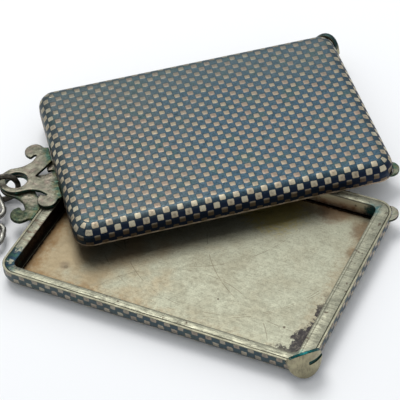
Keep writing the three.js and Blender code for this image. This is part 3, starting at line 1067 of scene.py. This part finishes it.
# %% Mix the castings and the wire
def cast_silver(name, light, dark, green):
    """green is how much of the flat face has gone mossy."""
    mix = Recipe(name)
    colour, rough, height = silver_base(mix, light, dark, 0.7, 40, 0.12)
    blush = mix.fade(mix.noise(0.9, 3.0), 0.48, 0.66)
    colour = mix.blend(mix.math("MULTIPLY", blush, 0.45), colour, (0.26, 0.18, 0.155))
    speck = mix.fade(mix.noise(2.6, 5.0, 0.75), 0.54, 0.68)
    colour = mix.blend(mix.math("MULTIPLY", speck, 0.55), colour, (0.070, 0.075, 0.055))
    # The upright sides get a green bloom and painted shade.
    bloom_and_dark = mix.blend(mix.fade(mix.noise(1.0, 5.0, 0.65), 0.46, 0.62),
                      (0.010, 0.015, 0.011), (0.014, 0.100, 0.072))
    colour = mix.blend(mix.math("MULTIPLY", upright(mix), 0.95), colour, bloom_and_dark)
    along = mix.split(mix.home)[0]
    seam = mix.fade(mix.math("SUBTRACT", along, mix.noise(1.2, 4.0)),
                    -CASE_LENGTH / 2 - 2.3, -CASE_LENGTH / 2 - 0.9)
    seam = mix.math("MULTIPLY", seam, mix.fade(along, 0, -20))
    moss = mix.math("MAXIMUM", mix.math("MULTIPLY", seam, 0.9),
                    mix.math("MULTIPLY", mix.fade(mix.noise(0.55, 5.0, 0.65), 0.44, 0.58), green))
    colour = mix.blend(moss, colour, mix.blend(mix.fade(mix.noise(1.3, 4.0), 0.4, 0.6),
                                               (0.014, 0.062, 0.042), (0.090, 0.095, 0.045)))
    dank = mix.math("MULTIPLY", mix.near(-28.3, -5.6, HALF_HEIGHT, 3.4), green)
    colour = mix.blend(dank, colour, mix.blend(mix.fade(mix.noise(1.8, 4.0), 0.42, 0.62),
                                               (0.014, 0.024, 0.014), (0.060, 0.075, 0.038)))
    return mix.pour(colour, rough, 0.9, mix.bump(height, 0.4, 0.06))


def clasp_silver(name, green, deep_green):
    mix = Recipe(name)
    colour, rough, height = silver_base(mix, (0.370, 0.335, 0.215), (0.235, 0.210, 0.140), 0.9, 20)
    narrow = mix.fade(upright(mix), 0.85, 0.35)
    high = mix.split(mix.home)[2]
    thin = mix.math("MULTIPLY", mix.fade(mix.noise(0.9, 4.0), 0.40, 0.56), mix.fade(high, 4.0, 4.5))
    bloom_and_dark = mix.blend(thin, deep_green, green)
    colour = mix.blend(narrow, colour, bloom_and_dark)
    return mix.pour(colour, rough, 0.9, mix.bump(height, 0.3, 0.05))


def wire_silver(name, light, dark):
    mix = Recipe(name)
    colour, rough, height = silver_base(mix, light, dark, 1.1, 40)
    normal = mix.nodes.new("ShaderNodeTexCoord").outputs["Normal"]
    # Painted shade: faces that point down go nearly black.
    painted_under_shade = mix.fade(mix.split(normal)[2], 0.25, -0.35)
    colour = mix.blend(mix.math("MULTIPLY", painted_under_shade, 0.9), colour, (0.020, 0.018, 0.014))
    return mix.pour(colour, rough, 0.95, mix.bump(height, 0.3, 0.04))


# %% [markdown]
# ## Dressing the pieces
#
# Each recipe is poured once for the tray and once for the lid, with its own
# amounts, because the two halves have not aged alike and are not lit alike. The
# lid's silver has turned tan, and its sides get strong painted shade. The tray's
# checks are pale, painted lighter still as painted light on its shaded wall, and its
# sides get little painted shade.


# %% Dress every piece
def dress(pieces, *materials):
    for piece in pieces:
        for material in materials:
            piece.data.materials.append(material)


CREAM_EDGE, GREY_EDGE = (0.42, 0.33, 0.24), (0.235, 0.225, 0.162)
LID_TANS = ((0.238, 0.200, 0.140), (0.215, 0.166, 0.126))
# The tray's tans are painted lighter than the lid's, as painted light on its shaded wall.
TRAY_TANS_WITH_PAINTED_LIGHT = ((0.560, 0.490, 0.365), (0.460, 0.365, 0.280))
# The third number is how much painted shade darkens the sides: little on the tray and full on the
# lid.
dress(covers[:1], niello("checks_on_the_tray", TRAY_TANS_WITH_PAINTED_LIGHT, 0.08, 0.34, 0.02, GREY_EDGE),
      bare_edge("edge_of_the_tray", GREY_EDGE, (0.14, 0.13, 0.09)))
dress(covers[1:], niello("checks_on_the_lid", LID_TANS, 1.0, 0.14, 0.28, CREAM_EDGE),
      bare_edge("edge_of_the_lid", CREAM_EDGE, (0.25, 0.19, 0.13)))
dress(rims, rim_silver("rim_silver_worn"))
dress(pans[:1], pan_silver("pan_of_the_tray", STAINS, 0.95))
dress(pans[1:], pan_silver("pan_of_the_lid", STAINS[:2], 0.3))
BAIL_LIGHT, BAIL_DARK = (0.225, 0.210, 0.158), (0.085, 0.080, 0.058)
dress(bails[:1], cast_silver("bail_of_the_tray", BAIL_LIGHT, BAIL_DARK, 0.85))
dress(bails[1:], cast_silver("bail_of_the_lid", BAIL_LIGHT, BAIL_DARK, 0.15))
dress(clasps[:1], clasp_silver("clasp_of_the_tray", (0.006, 0.085, 0.085), DEEP_GREEN))
dress(clasps[1:], clasp_silver("clasp_of_the_lid", (0.070, 0.095, 0.085), (0.020, 0.040, 0.036)))
dress(tongues[:1], cast_silver("tongue_of_the_tray", (0.24, 0.235, 0.175), (0.13, 0.13, 0.10), 0.5))
dress(tongues[1:], cast_silver("tongue_of_the_lid", (0.16, 0.17, 0.12), (0.08, 0.10, 0.07), 0.9))
dress(wires[:1], wire_silver("ring_wire", (0.13, 0.115, 0.09), (0.035, 0.03, 0.024)))
dress(wires[1:], wire_silver("chain_wire", (0.42, 0.41, 0.36), (0.12, 0.11, 0.09)))
print("finishes:", ", ".join(sorted(m.name for m in bpy.data.materials)))

# %% [markdown]
# ## Table and light
#
# The case lies on a plain white table under soft light. Metal shows what is round
# it, so the white room does most of the work. One large lamp stands above and a
# little behind, which leaves the front shoulders dark and throws the lid's shadow
# into the tray. A weaker lamp behind it picks out the round edges.

# %% Floor and lights
TABLE_SIZE = 3.0
table = start("table", bpy.ops.mesh.primitive_plane_add, size=TABLE_SIZE)
plain = Recipe("table_white")
dress([table], plain.pour(plain.blend(plain.noise(0.01), (0.90, 0.90, 0.90), (0.93, 0.93, 0.93)),
                          0.7, 0.0))


ROOM_COLOUR = (0.93, 0.96, 1.0, 1)
ROOM_STRENGTH = 0.62


def lamp(name, place, size, watts, colour=(1, 1, 1)):
    """A square soft light at a place, turned to face the case."""
    bpy.ops.object.light_add(type="AREA", location=place)
    light = bpy.context.active_object
    light.name = name
    light.data.size = size
    light.data.energy = watts
    light.data.color = colour
    light.rotation_euler = (-Vector(place)).to_track_quat("-Z", "Y").to_euler()


lamp("overhead", (-0.16, 0.16, 0.50), 0.28, 1.5)
lamp("behind", (-0.15, 0.50, 0.40), 0.35, 0.4, (0.92, 0.97, 1.0))
world = bpy.data.worlds.new("room")
world.use_nodes = True
background = world.node_tree.nodes["Background"]
background.inputs["Color"].default_value = ROOM_COLOUR
background.inputs["Strength"].default_value = ROOM_STRENGTH
bpy.context.scene.world = world
bpy.context.scene.view_settings.view_transform = "Standard"
